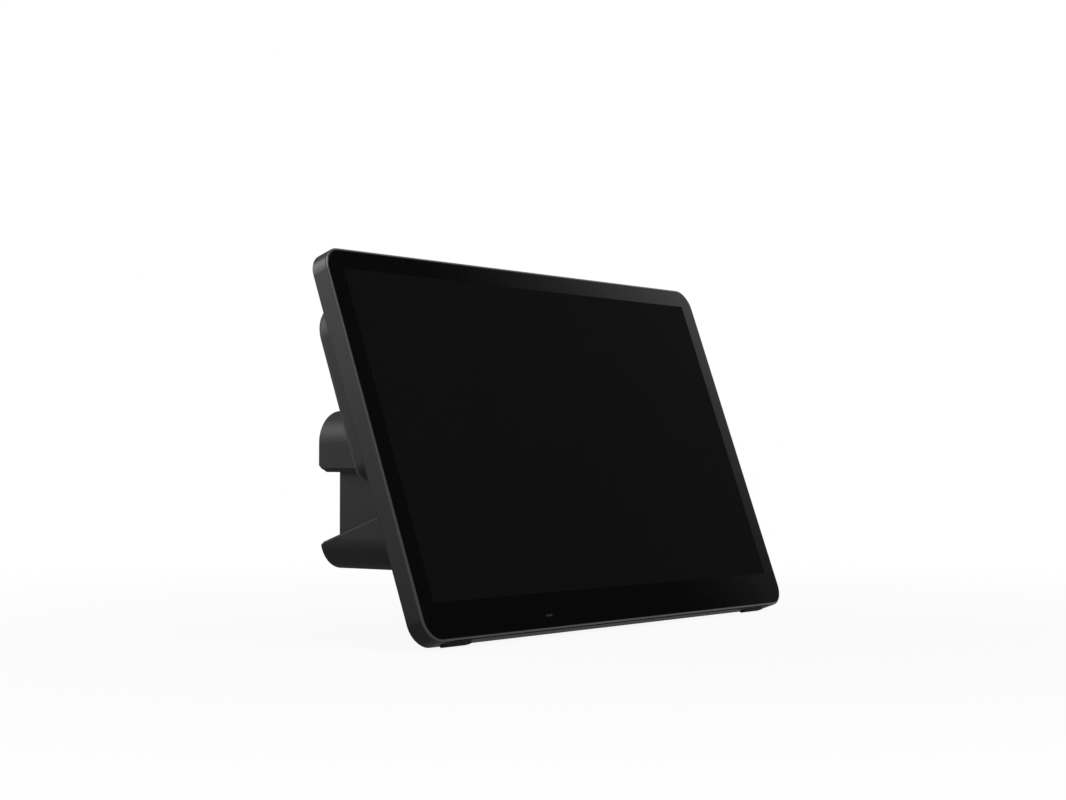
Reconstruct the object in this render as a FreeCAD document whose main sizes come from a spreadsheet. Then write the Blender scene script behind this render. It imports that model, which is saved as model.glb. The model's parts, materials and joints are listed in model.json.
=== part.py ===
import FreeCAD, Part
import math
import os
import Sketcher

# A tabletop touch console: a display unit that tilts on a friction hinge, and a weighted stand behind it.
# +X runs along the width, +Y to the back and +Z up. The origin is under the middle of the stand's pad.

# Driving sizes in millimetres, and angles in degrees.
driving_sizes = {
    # display unit: glass, frame and flat back
    "lean": 19.8,
    "glass_width": 274.7,
    "glass_height": 167.2,
    "glass_thick": 1.1,
    "glass_radius": 9.0,
    "glass_bevel": 0.25,
    "groove": 0.1,
    "lip": 0.75,
    "lip_set": 0.05,
    "lip_slope_width": 0.7,
    "lip_slope_depth": 0.32,
    "lip_bevel": 0.2,
    "slab_depth": 8.6,
    "cover_thick": 2.0,
    "cover_bevel": 0.5,
    "frame_wall": 2.0,
    "shelf_width": 3.5,
    "shelf_thick": 2.8,
    "gasket_thick": 0.3,
    "gasket_width": 2.6,
    "rib_inset": 6.0,
    "rib_width": 1.5,
    # display module, and what is on the glass
    "lcd_beside": 6.5,
    "lcd_below": 12.3,
    "lcd_above": 5.4,
    "lcd_thick": 3.0,
    "sensor_right": -59.0,
    "sensor_rise": 7.0,
    "sensor_size": 3.0,
    "sensor_thick": 1.0,
    "chassis_thick": 1.0,
    "chassis_gap": 0.4,
    # raised housing
    "housing_width": 256.0,
    "housing_height": 79.1,
    "housing_depth": 15.4,
    "housing_radius": 16.0,
    "housing_low_radius": 7.0,
    "housing_round": 4.0,
    "housing_wall": 2.0,
    "housing_rise": 113.65,
    "opening_margin": 8.0,
    "slot_width": 2.0,
    "slot_length": 36.0,
    "slot_pitch": 5.0,
    "slot_count": 6,
    "vent_length": 9.0,
    "vent_pitch": 6.0,
    "vent_count": 16,
    "vent_drop": 14.0,
    # electronics
    "board_width": 156.0,
    "board_height": 56.0,
    "board_thick": 1.6,
    "post_height": 5.0,
    "post_size": 6.2,
    "post_inset": 5.0,
    "shield_size": 36.0,
    "shield_height": 3.0,
    "spreader_width": 60.0,
    "spreader_height": 44.0,
    "chip_width": 12.0,
    "chip_height": 9.0,
    "chip_thick": 1.2,
    "chip_pitch": 15.0,
    "chip_count": 3,
    "chip_inset": 25.0,
    "speaker_gap": 6.0,
    "speaker_wall_gap": 10.0,
    "speaker_height": 52.0,
    "speaker_depth": 9.0,
    "cone_rim": 3.5,
    "cone_depth": 3.0,
    "microphone_right": 40.0,
    "microphone_width": 4.0,
    "microphone_height": 3.0,
    "pinhole_radius": 0.6,
    "antenna_right": 88.0,
    "antenna_width": 44.0,
    "antenna_height": 8.0,
    "antenna_thick": 0.4,
    "antenna_drop": 14.0,
    # rubber feet under the lower edge
    "foot_length": 18.0,
    "foot_depth": 4.0,
    "foot_thick": 0.8,
    "foot_back": 7.6,
    "foot_inset": 22.5,
    "foot_corner": 1.9,
    # screws: small ones hold the board and the ears, large ones the stand
    "screw_radius": 1.25,
    "screw_head_radius": 2.4,
    "screw_head_height": 1.4,
    "screw_grip": 4.0,
    "screw_clear": 0.05,
    "screw_tip_gap": 0.5,
    # tilt hinge, measured from the lower edge of the frame and from the front of the glass
    "hinge_rise": 98.1,
    "hinge_depth": 34.5,
    "hinge_back": 11.3,
    "ear_right": 62.0,
    "ear_thick": 5.0,
    "ear_radius": 6.0,
    "flange_width": 28.0,
    "flange_height": 16.0,
    "flange_thick": 2.0,
    "ear_screw_spread": 18.0,
    "shaft_radius": 3.0,
    "shaft_clear": 0.05,
    "shaft_hold": 8.0,
    "washer_thick": 0.8,
    "washer_size": 10.8,
    "washer_gap": 0.2,
    "ear_clear": 0.8,
    # stand
    "head_width": 199.5,
    "head_height": 26.8,
    "head_below": 14.4,
    "head_ahead": 2.8,
    "head_back": 29.2,
    "head_corner": 14.0,
    "head_front_round": 9.0,
    "head_edge_bevel": 0.7,
    "head_under_bevel": 1.8,
    "head_heel_bevel": 3.6,
    "head_wall": 5.0,
    "head_side_wall": 8.0,
    "web_thick": 10.0,
    "waist_inset": 6.3,
    "waist_ahead": 7.0,
    "waist_wall": 2.5,
    "waist_edge_round": 1.5,
    "ledge_span": 196.0,
    "ledge_tip": 39.0,
    "ledge_under": 27.4,
    "ledge_gap": 4.9,
    "ledge_corner": 14.0,
    "ledge_edge_bevel": 1.0,
    "pedestal_width": 92.0,
    "pedestal_depth": 60.0,
    "pedestal_radius": 10.0,
    "pedestal_wall": 4.0,
    "pedestal_roof": 5.0,
    "pad_thick": 1.5,
    "pad_inset": 1.0,
    "weight_floor": 2.9,
    "weight_gap": 0.3,
    "bolt_radius": 2.0,
    "bolt_head_radius": 3.6,
    "bolt_head_height": 3.2,
    "bolt_right": 66.0,
    "bolt_back": 14.0,
    "bolt_sink": 12.0,
    "bolt_hold": 5.5,
    # network sockets
    "jack_width": 15.6,
    "jack_height": 12.6,
    "jack_depth": 17.0,
    "jack_right": 13.0,
    "jack_clear": 0.15,
    "jack_mouth_width": 11.8,
    "jack_mouth_height": 6.9,
    "jack_mouth_depth": 13.0,
    "jack_mouth_rise": 3.4,
    "jack_latch_width": 6.2,
    "jack_latch_depth": 2.0,
    "io_width": 64.0,
    "io_depth": 20.0,
    "io_thick": 1.6,
    "io_back_gap": 0.4,
    "jack_head_gap": 0.6,
}

doc = FreeCAD.newDocument("desk_touch_console")
sheet = doc.addObject("Spreadsheet::Sheet", "Sizes")
for row, (alias, amount) in enumerate(driving_sizes.items(), 1):
    sheet.set(f"A{row}", alias)
    sheet.set(f"B{row}", str(amount))
    sheet.setAlias(f"B{row}", alias)
doc.recompute()

nodes = []

# how near an edge lies to a plane that it is picked by, and the least volume that a cut takes away
touch = 1e-4
least_cut = 1e-6


# Expressions. Each is text that the document works out from the sheet.
def size(name):
    return f"Sizes.{name}"


def total(*terms):
    return "(" + " + ".join(terms) + ")"


def less(first, *terms):
    return "(" + " - ".join((first,) + terms) + ")"


def times(factor, term):
    return f"({factor} * {term})"


def row_span(pitch, count):
    return times(size(pitch), less(size(count), "1"))


def number(expression):
    return float(sheet.evalExpression(expression))


lean_tan = "tan(Sizes.lean * 1 deg)"
lean_cos = "cos(Sizes.lean * 1 deg)"
lean_sin = "sin(Sizes.lean * 1 deg)"

# a cut that opens a face starts this far outside it
overcut = "1"

rim = total(size("groove"), size("lip"))
frame_width = total(size("glass_width"), times(2, rim))
frame_height = total(size("glass_height"), times(2, rim))
frame_radius = total(size("glass_radius"), rim)
seat_depth = total(size("glass_thick"), size("gasket_thick"))
shelf_back = total(seat_depth, size("shelf_thick"))
chassis_back = total(shelf_back, size("chassis_thick"))
frame_back = less(size("slab_depth"), size("cover_thick"))
behind_chassis = less(frame_back, chassis_back)
cavity_width = less(frame_width, times(2, size("frame_wall")))
cavity_height = less(frame_height, times(2, size("frame_wall")))
cavity_radius = less(frame_radius, size("frame_wall"))
housing_back = total(size("slab_depth"), size("housing_depth"))
housing_floor = less(housing_back, size("housing_wall"))
board_back = less(housing_floor, size("post_height"))
board_front = less(board_back, size("board_thick"))
shield_front = less(board_front, size("shield_height"))

# the speakers fill the room between the board and the side walls of the housing
board_edge = times(0.5, size("board_width"))
housing_inside = less(times(0.5, size("housing_width")), size("housing_wall"))
speaker_width = less(housing_inside, size("speaker_wall_gap"), board_edge, size("speaker_gap"))
speaker_right = total(board_edge, size("speaker_gap"), times(0.5, speaker_width))
cone_width = less(speaker_width, times(2, size("cone_rim")))
cone_height = less(size("speaker_height"), times(2, size("cone_rim")))

# The display stands on its feet at rest, which sets the height of the hinge above the table.
foot_reach = times(lean_cos, total(size("hinge_rise"), size("foot_thick")))
hinge_height = less(foot_reach, times(lean_sin, less(size("hinge_depth"), size("foot_back"))))
hinge_back = size("hinge_back")

slot_room = total(size("ear_thick"), times(2, total(size("washer_thick"), size("washer_gap"))))
shaft_length = total(slot_room, times(2, size("shaft_hold")))
bore_radius = total(size("shaft_radius"), size("shaft_clear"))
screw_bore = total(size("screw_radius"), size("screw_clear"))
bolt_bore = total(size("bolt_radius"), size("screw_clear"))

head_front = less(hinge_back, size("head_ahead"))
head_rear = total(hinge_back, size("head_back"))
head_under = less(hinge_height, size("head_below"))
head_top = total(head_under, size("head_height"))
waist_width = less(size("head_width"), times(2, size("waist_inset")))
waist_front = less(hinge_back, size("waist_ahead"))
waist_rear = less(head_rear, size("waist_inset"))
io_floor = less(head_under, size("jack_head_gap"), size("jack_height"), size("io_thick"))


def at_depth(depth):
    # height along the panel's own normal, for a depth behind the front of the glass
    return less(size("hinge_depth"), depth)


def at_rise(rise):
    # place up the panel, for a height above the lower edge of the frame
    return less(rise, size("hinge_rise"))


def ledge_top(back):
    # height of the ledge's sloping top, which stands square to the panel
    return total(size("ledge_tip"), times(lean_tan, less(head_rear, back)))


def panel_back(height, gap):
    # place of a plane that follows the back of the slab at the given gap, at a height above the table
    depth = less(total(size("slab_depth"), gap), size("hinge_depth"))
    return total(hinge_back, times(lean_tan, less(height, hinge_height)), f"({depth} / {lean_cos})")


# Bodies, sketches and features.
def new_body(label):
    body = doc.addObject("PartDesign::Body", label)
    body.Label = label
    nodes.append(body)
    return body


def tilt(piece):
    # a piece of the display unit is drawn about the hinge axis, face up, and then leaned back
    piece.Placement.Rotation = FreeCAD.Rotation(FreeCAD.Vector(1, 0, 0), 1)
    piece.setExpression("Placement.Rotation.Angle", "(90 - Sizes.lean) * 1 deg")
    piece.setExpression("Placement.Base.y", hinge_back)
    piece.setExpression("Placement.Base.z", hinge_height)


def display_body(label):
    body = new_body(label)
    tilt(body)
    return body


def new_sketch(body, plane, offset):
    sketch = body.newObject("Sketcher::SketchObject", f"{body.Name}_sketch")
    origin_plane = next(item for item in body.Origin.OriginFeatures if item.Role == f"{plane}_Plane")
    sketch.AttachmentSupport = (origin_plane, [""])
    sketch.MapMode = "FlatFace"
    sketch.setExpression("AttachmentOffset.Base.z", offset)
    return sketch


def bind(sketch, kind, places, expression):
    index = sketch.addConstraint(Sketcher.Constraint(kind, *places, number(expression)))
    name = f"size_{index}"
    sketch.renameConstraint(index, name)
    sketch.setExpression(f"Constraints.{name}", expression)


def place_point(sketch, geometry, point, right, up):
    for axis, kind, expression in ((-2, "DistanceX", right), (-1, "DistanceY", up)):
        if expression == "0":
            sketch.addConstraint(Sketcher.Constraint("PointOnObject", geometry, point, axis))
        else:
            bind(sketch, kind, (-1, 1, geometry, point), expression)


def circle(sketch, radius, right="0", up="0"):
    centre = FreeCAD.Vector(number(right), number(up), 0)
    index = sketch.addGeometry(Part.Circle(centre, FreeCAD.Vector(0, 0, 1), number(radius)))
    bind(sketch, "Radius", (index,), radius)
    place_point(sketch, index, 3, right, up)


def polygon(sketch, corners):
    points = [FreeCAD.Vector(number(right), number(up), 0) for right, up in corners]
    first = sketch.GeometryCount
    count = len(points)
    for index in range(count):
        sketch.addGeometry(Part.LineSegment(points[index], points[(index + 1) % count]))
    for index in range(count):
        following = first + (index + 1) % count
        sketch.addConstraint(Sketcher.Constraint("Coincident", first + index, 2, following, 1))
        place_point(sketch, first + index, 1, *corners[index])


def rectangle(sketch, width, height, right="0", up="0"):
    left = less(right, times(0.5, width))
    low = less(up, times(0.5, height))
    far = total(right, times(0.5, width))
    high = total(up, times(0.5, height))
    polygon(sketch, [(left, low), (far, low), (far, high), (left, high)])


def rounded(sketch, width, height, radius, right="0", up="0"):
    # four sides joined by four equal corner arcs
    half_width = number(width) / 2
    half_height = number(height) / 2
    corner = number(radius)
    middle = FreeCAD.Vector(number(right), number(up), 0)
    first = sketch.GeometryCount
    reach = ((1, -1), (1, 1), (-1, 1), (-1, -1))
    centres = []
    for across, along in reach:
        step = FreeCAD.Vector(across * (half_width - corner), along * (half_height - corner), 0)
        centres.append(middle + step)
    for index, here in enumerate(centres):
        outward = FreeCAD.Rotation(FreeCAD.Vector(0, 0, 1), 90 * index).multVec(FreeCAD.Vector(0, -corner, 0))
        sketch.addGeometry(Part.LineSegment(centres[index - 1] + outward, here + outward))
        ring = Part.Circle(here, FreeCAD.Vector(0, 0, 1), corner)
        sketch.addGeometry(Part.ArcOfCircle(ring, math.radians(90 * (index - 1)), math.radians(90 * index)))
    for index in range(4):
        side = first + 2 * index
        arc = side + 1
        following = first + (2 * index + 2) % 8
        sketch.addConstraint(Sketcher.Constraint("Tangent", side, 2, arc, 1))
        sketch.addConstraint(Sketcher.Constraint("Tangent", arc, 2, following, 1))
        direction = "Horizontal" if index % 2 == 0 else "Vertical"
        sketch.addConstraint(Sketcher.Constraint(direction, side))
        if index:
            sketch.addConstraint(Sketcher.Constraint("Equal", first + 1, arc))
    bind(sketch, "Radius", (first + 1,), radius)
    bind(sketch, "DistanceX", (first + 6, 1, first + 2, 1), width)
    bind(sketch, "DistanceY", (first, 1, first + 4, 1), height)
    bind(sketch, "DistanceX", (-1, 1, first + 6, 1), less(right, times(0.5, width)))
    bind(sketch, "DistanceY", (-1, 1, first, 1), less(up, times(0.5, height)))


def corner_cut(sketch, right, up, radius):
    # what a rounding takes off a solid whose left upper corner lies at the given place
    low = less(up, radius)
    far = total(right, radius)
    ahead = less(right, overcut)
    above = total(up, overcut)
    corners = [(right, low), (ahead, low), (ahead, above), (far, above), (far, up)]
    points = [FreeCAD.Vector(number(across), number(along), 0) for across, along in corners]
    for start, end in zip(points, points[1:]):
        sketch.addGeometry(Part.LineSegment(start, end))
    ring = Part.Circle(FreeCAD.Vector(number(far), number(low), 0), FreeCAD.Vector(0, 0, 1), number(radius))
    arc = sketch.addGeometry(Part.ArcOfCircle(ring, math.radians(90), math.radians(180)))
    for index in range(arc - 1):
        sketch.addConstraint(Sketcher.Constraint("Coincident", index, 2, index + 1, 1))
    sketch.addConstraint(Sketcher.Constraint("Coincident", arc - 1, 2, arc, 1))
    sketch.addConstraint(Sketcher.Constraint("Coincident", arc, 2, 0, 1))
    for index in range(arc):
        place_point(sketch, index, 1, *corners[index])
    place_point(sketch, arc, 3, far, low)


def hexagon(sketch, radius, right, up):
    corners = []
    for index in range(6):
        across = times(f"cos({60 * index} deg)", radius)
        along = times(f"sin({60 * index} deg)", radius)
        corners.append((total(right, across), total(up, along)))
    polygon(sketch, corners)


def feature(body, kind, sketch, length, backward=False, both_ways=False):
    made = body.newObject(f"PartDesign::{kind}", f"{body.Name}_{kind.lower()}")
    made.Profile = sketch
    made.setExpression("Length", length)
    made.Reversed = backward
    if both_ways:
        made.SideType = "Symmetric"
    doc.recompute()
    return made


def pad(body, sketch, length, backward=False, both_ways=False):
    return feature(body, "Pad", sketch, length, backward, both_ways)


def pocket(body, sketch, length, backward=False, both_ways=False):
    before = body.Shape.Volume
    made = feature(body, "Pocket", sketch, length, backward, both_ways)
    if body.Shape.Volume > before - least_cut:
        raise ValueError(f"{body.Label}: a cut took nothing away")
    return made


def dress(body, kind, amount, chosen, second=None):
    # round or bevel the edges of the newest solid that the given test picks out, or slope them by two sizes
    base = body.Tip
    names = [f"Edge{i}" for i, edge in enumerate(base.Shape.Edges, 1) if chosen(edge)]
    made = body.newObject(f"PartDesign::{kind}", f"{body.Name}_{kind.lower()}")
    made.Base = (base, names)
    made.setExpression("Radius" if kind == "Fillet" else "Size", amount)
    if second:
        made.ChamferType = "Two distances"
        made.setExpression("Size2", second)
    doc.recompute()
    return made


def row_of_copies(body, cut, sketch, direction, span, count):
    pattern = body.newObject("PartDesign::LinearPattern", f"{body.Name}_row")
    pattern.Originals = [cut]
    pattern.Direction = (sketch, [direction])
    pattern.setExpression("Length", span)
    pattern.setExpression("Occurrences", count)
    body.Tip = pattern
    doc.recompute()
    return pattern


def flat_at(edge, axis, place):
    box = edge.BoundBox
    low = getattr(box, f"{axis}Min")
    high = getattr(box, f"{axis}Max")
    return abs(low - place) < touch and abs(high - place) < touch


def falls_back(edge):
    first = edge.Vertexes[0].Point
    last = edge.Vertexes[-1].Point
    return (last.z - first.z) * (last.y - first.y) < -touch


def slab(body, outline, depth, thickness):
    # a plate of the display unit, from a depth behind the glass face towards the back
    sketch = new_sketch(body, "XY", at_depth(depth))
    outline(sketch)
    return pad(body, sketch, thickness, backward=True)


def sink(body, outline, depth, length, forward=False):
    sketch = new_sketch(body, "XY", at_depth(depth))
    outline(sketch)
    return pocket(body, sketch, length, backward=forward)


def mirrored_pair(expression):
    return (("left", times(-1, expression)), ("right", expression))


frame_middle = at_rise(times(0.5, frame_height))


def make_mid_frame():
    body = display_body("mid_frame")
    depth = less(frame_back, size("lip_set"))
    slab(body, lambda s: rounded(s, frame_width, frame_height, frame_radius, up=frame_middle),
         size("lip_set"), depth)
    front = number(at_depth(size("lip_set")))
    slope_end = number(at_depth(total(size("lip_set"), size("lip_slope_depth"))))
    dress(body, "Chamfer", size("lip_slope_depth"), lambda edge: flat_at(edge, "Z", front),
          size("lip_slope_width"))
    dress(body, "Chamfer", size("lip_bevel"), lambda edge: flat_at(edge, "Z", slope_end))
    seat_width = total(size("glass_width"), times(2, size("groove")))
    seat_height = total(size("glass_height"), times(2, size("groove")))
    seat_radius = total(size("glass_radius"), size("groove"))
    sink(body, lambda s: rounded(s, seat_width, seat_height, seat_radius, up=frame_middle),
         size("lip_set"), less(seat_depth, size("lip_set")))
    window_width = less(size("glass_width"), times(2, size("shelf_width")))
    window_height = less(size("glass_height"), times(2, size("shelf_width")))
    window_radius = less(size("glass_radius"), size("shelf_width"))
    sink(body, lambda s: rounded(s, window_width, window_height, window_radius, up=frame_middle),
         seat_depth, depth)
    sink(body, lambda s: rounded(s, cavity_width, cavity_height, cavity_radius, up=frame_middle),
         frame_back, less(frame_back, shelf_back), forward=True)
    holes = new_sketch(body, "XZ", times(-1, at_rise(frame_height)))
    hole_depth = less(frame_back, times(0.5, behind_chassis))
    for _, right in mirrored_pair(size("microphone_right")):
        circle(holes, size("pinhole_radius"), right, at_depth(hole_depth))
    pocket(body, holes, size("frame_wall"), backward=True)


def make_glass():
    body = display_body("cover_glass")
    slab(body, lambda s: rounded(s, size("glass_width"), size("glass_height"), size("glass_radius"),
                                 up=frame_middle), "0", size("glass_thick"))
    front = number(at_depth("0"))
    dress(body, "Chamfer", size("glass_bevel"), lambda edge: flat_at(edge, "Z", front))

    ring = display_body("glass_gasket")
    sketch = new_sketch(ring, "XY", at_depth(size("glass_thick")))
    rounded(sketch, size("glass_width"), size("glass_height"), size("glass_radius"), up=frame_middle)
    inner = times(2, size("gasket_width"))
    rounded(sketch, less(size("glass_width"), inner), less(size("glass_height"), inner),
            less(size("glass_radius"), size("gasket_width")), up=frame_middle)
    pad(ring, sketch, size("gasket_thick"), backward=True)


def make_display_module():
    panel = display_body("lcd_panel")
    panel_width = less(size("glass_width"), times(2, size("lcd_beside")))
    panel_height = less(size("glass_height"), size("lcd_below"), size("lcd_above"))
    panel_middle = total(frame_middle, times(0.5, less(size("lcd_below"), size("lcd_above"))))
    slab(panel, lambda s: rectangle(s, panel_width, panel_height, up=panel_middle),
         size("glass_thick"), size("lcd_thick"))

    sensor = display_body("presence_sensor")
    slab(sensor, lambda s: rectangle(s, size("sensor_size"), size("sensor_size"), size("sensor_right"),
                                     at_rise(size("sensor_rise"))),
         size("glass_thick"), size("sensor_thick"))

    plate = display_body("chassis_plate")
    gap = times(2, size("chassis_gap"))
    slab(plate, lambda s: rounded(s, less(cavity_width, gap), less(cavity_height, gap),
                                  less(cavity_radius, size("chassis_gap")), up=frame_middle),
         shelf_back, size("chassis_thick"))


def make_rear_cover():
    body = display_body("rear_cover")
    slab(body, lambda s: rounded(s, frame_width, frame_height, frame_radius, up=frame_middle),
         frame_back, size("cover_thick"))
    back = number(at_depth(size("slab_depth")))
    dress(body, "Chamfer", size("cover_bevel"), lambda edge: flat_at(edge, "Z", back))
    margin = times(2, size("opening_margin"))
    sink(body, lambda s: rounded(s, less(size("housing_width"), margin), less(size("housing_height"), margin),
                                 less(size("housing_radius"), size("opening_margin")),
                                 up=at_rise(size("housing_rise"))),
         frame_back, size("cover_thick"))
    rib = new_sketch(body, "XY", at_depth(frame_back))
    for inset in (size("rib_inset"), total(size("rib_inset"), size("rib_width"))):
        rectangle(rib, less(frame_width, times(2, inset)), less(frame_height, times(2, inset)),
                  up=frame_middle)
    pad(body, rib, behind_chassis)


def post_places(sides):
    across = less(board_edge, size("post_inset"))
    along = less(times(0.5, size("board_height")), size("post_inset"))
    for side, end in sides:
        yield times(side, across), total(at_rise(size("housing_rise")), times(end, along))


# the board lies on a post at each corner, and two of them take a screw
all_posts = ((-1, -1), (-1, 1), (1, -1), (1, 1))
screwed_posts = ((-1, 1), (1, -1))


def ear_screw_places():
    for _, middle in mirrored_pair(size("ear_right")):
        for side in (-0.5, 0.5):
            yield total(middle, times(side, size("ear_screw_spread"))), "0"


def make_rear_housing():
    body = display_body("rear_housing")
    middle = at_rise(size("housing_rise"))
    slab(body, lambda s: rectangle(s, size("housing_width"), size("housing_height"), up=middle),
         size("slab_depth"), size("housing_depth"))
    top = number(total(middle, times(0.5, size("housing_height"))))
    low = number(less(middle, times(0.5, size("housing_height"))))
    half = number(size("housing_width")) / 2
    for radius, end in ((size("housing_radius"), top), (size("housing_low_radius"), low)):
        dress(body, "Fillet", radius, lambda edge: flat_at(edge, "Y", end) and
              (flat_at(edge, "X", half) or flat_at(edge, "X", -half)))
    back = number(at_depth(housing_back))
    dress(body, "Fillet", size("housing_round"), lambda edge: flat_at(edge, "Z", back))
    walls = times(2, size("housing_wall"))
    sink(body, lambda s: rounded(s, less(size("housing_width"), walls), less(size("housing_height"), walls),
                                 less(size("housing_radius"), size("housing_wall")), up=middle),
         size("slab_depth"), less(size("housing_depth"), size("housing_wall")))

    posts = new_sketch(body, "XY", at_depth(housing_floor))
    for right, up in post_places(all_posts):
        rectangle(posts, size("post_size"), size("post_size"), right, up)
    pad(body, posts, size("post_height"))
    holes = new_sketch(body, "XY", at_depth(board_back))
    for right, up in post_places(screwed_posts):
        circle(holes, screw_bore, right, up)
    pocket(body, holes, size("screw_grip"))
    ear_holes = new_sketch(body, "XY", at_depth(housing_floor))
    for right, up in ear_screw_places():
        circle(ear_holes, screw_bore, right, up)
    pocket(body, ear_holes, size("housing_wall"))

    # speaker slots on both sides, and a row of vents below the top edge
    span = row_span("slot_pitch", "slot_count")
    for _, right in mirrored_pair(speaker_right):
        slot = new_sketch(body, "XY", at_depth(housing_floor))
        rectangle(slot, size("slot_width"), size("slot_length"), less(right, times(0.5, span)), middle)
        cut = pocket(body, slot, size("housing_wall"))
        row_of_copies(body, cut, slot, "H_Axis", span, size("slot_count"))
    vent = new_sketch(body, "XY", at_depth(housing_floor))
    vent_span = row_span("vent_pitch", "vent_count")
    vent_up = less(total(middle, times(0.5, size("housing_height"))), size("vent_drop"))
    rectangle(vent, size("slot_width"), size("vent_length"), times(-0.5, vent_span), vent_up)
    cut = pocket(body, vent, size("housing_wall"))
    row_of_copies(body, cut, vent, "H_Axis", vent_span, size("vent_count"))


def make_electronics():
    middle = at_rise(size("housing_rise"))
    board = display_body("main_board")
    slab(board, lambda s: rectangle(s, size("board_width"), size("board_height"), up=middle),
         board_front, size("board_thick"))
    holes = new_sketch(board, "XY", at_depth(board_front))
    for right, up in post_places(screwed_posts):
        circle(holes, screw_bore, right, up)
    pocket(board, holes, size("board_thick"))

    shield = display_body("cpu_shield")
    slab(shield, lambda s: rectangle(s, size("shield_size"), size("shield_size"), up=middle),
         shield_front, size("shield_height"))

    spreader = display_body("heat_spreader")
    slab(spreader, lambda s: rectangle(s, size("spreader_width"), size("spreader_height"), up=middle),
         chassis_back, less(shield_front, chassis_back))

    chips = display_body("board_chips")
    chip_span = row_span("chip_pitch", "chip_count")
    chip_right = less(board_edge, size("chip_inset"), times(0.5, size("chip_width")))
    row = new_sketch(chips, "XY", at_depth(board_front))
    rectangle(row, size("chip_width"), size("chip_height"), chip_right, less(middle, times(0.5, chip_span)))
    first = pad(chips, row, size("chip_thick"))
    row_of_copies(chips, first, row, "V_Axis", chip_span, size("chip_count"))

    for side, right in mirrored_pair(speaker_right):
        speaker = display_body(f"speaker_{side}")
        slab(speaker, lambda s: rectangle(s, speaker_width, size("speaker_height"), right, middle),
             less(housing_floor, size("speaker_depth")), size("speaker_depth"))
        sink(speaker, lambda s: rectangle(s, cone_width, cone_height, right, middle),
             housing_floor, size("cone_depth"), forward=True)

    # the microphones are held between the chassis plate and the flat back, behind the holes in the frame
    microphones = display_body("microphones")
    pair = new_sketch(microphones, "XY", at_depth(frame_back))
    wall_top = at_rise(less(frame_height, size("frame_wall"), times(0.5, size("microphone_height"))))
    for _, right in mirrored_pair(size("microphone_right")):
        rectangle(pair, size("microphone_width"), size("microphone_height"), right, wall_top)
    pad(microphones, pair, behind_chassis)

    antennas = display_body("wifi_antennas")
    strips = new_sketch(antennas, "XY", at_depth(frame_back))
    strip_up = at_rise(less(frame_height, size("antenna_drop")))
    for _, right in mirrored_pair(size("antenna_right")):
        rectangle(strips, size("antenna_width"), size("antenna_height"), right, strip_up)
    pad(antennas, strips, size("antenna_thick"))


def make_feet():
    for side, middle in mirrored_pair(less(times(0.5, size("glass_width")), size("foot_inset"))):
        body = display_body(f"foot_{side}")
        sketch = new_sketch(body, "XZ", size("hinge_rise"))
        depth = less(size("foot_back"), times(0.5, size("foot_depth")))
        rounded(sketch, size("foot_length"), size("foot_depth"), size("foot_corner"), middle, at_depth(depth))
        pad(body, sketch, size("foot_thick"))


def make_screws(body, kind, places, seat, grip, upward):
    # a shank and a hexagon head at each place; seat is the face that the heads bear on
    heads = new_sketch(body, "XY", seat)
    shanks = new_sketch(body, "XY", seat)
    for right, up in places:
        hexagon(heads, size(f"{kind}_head_radius"), right, up)
        circle(shanks, size(f"{kind}_radius"), right, up)
    pad(body, heads, size(f"{kind}_head_height"), backward=upward)
    pad(body, shanks, grip, backward=not upward)


def make_ears():
    for side, middle in mirrored_pair(size("ear_right")):
        body = display_body(f"hinge_ear_{side}")
        flange = new_sketch(body, "XY", at_depth(housing_back))
        rectangle(flange, size("flange_width"), size("flange_height"), middle)
        pad(body, flange, size("flange_thick"), backward=True)
        ear = new_sketch(body, "YZ", middle)
        rectangle(ear, times(2, size("ear_radius")), at_depth(housing_back), "0",
                  times(0.5, at_depth(housing_back)))
        pad(body, ear, size("ear_thick"), both_ways=True)
        knuckle = new_sketch(body, "YZ", middle)
        circle(knuckle, size("ear_radius"))
        pad(body, knuckle, size("ear_thick"), both_ways=True)
        bore = new_sketch(body, "YZ", middle)
        circle(bore, bore_radius)
        pocket(body, bore, times(2, size("ear_thick")), both_ways=True)
        holes = new_sketch(body, "XY", at_depth(housing_back))
        for step in (-0.5, 0.5):
            circle(holes, screw_bore, total(middle, times(step, size("ear_screw_spread"))))
        pocket(body, holes, size("flange_thick"))


def make_hinge_shafts():
    # the washers are square, so that the slots of the head keep them from turning with the ears
    washers = new_body("friction_washers")
    for side, middle in mirrored_pair(size("ear_right")):
        shaft = new_body(f"hinge_shaft_{side}")
        sketch = new_sketch(shaft, "YZ", middle)
        circle(sketch, size("shaft_radius"), hinge_back, hinge_height)
        pad(shaft, sketch, shaft_length, both_ways=True)
        for step in (-1, 1):
            start = total(times(0.5, size("ear_thick")), size("washer_gap"))
            ring = new_sketch(washers, "YZ", total(middle, times(step, start)))
            rectangle(ring, size("washer_size"), size("washer_size"), hinge_back, hinge_height)
            circle(ring, bore_radius, hinge_back, hinge_height)
            pad(washers, ring, size("washer_thick"), backward=step < 0)


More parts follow.
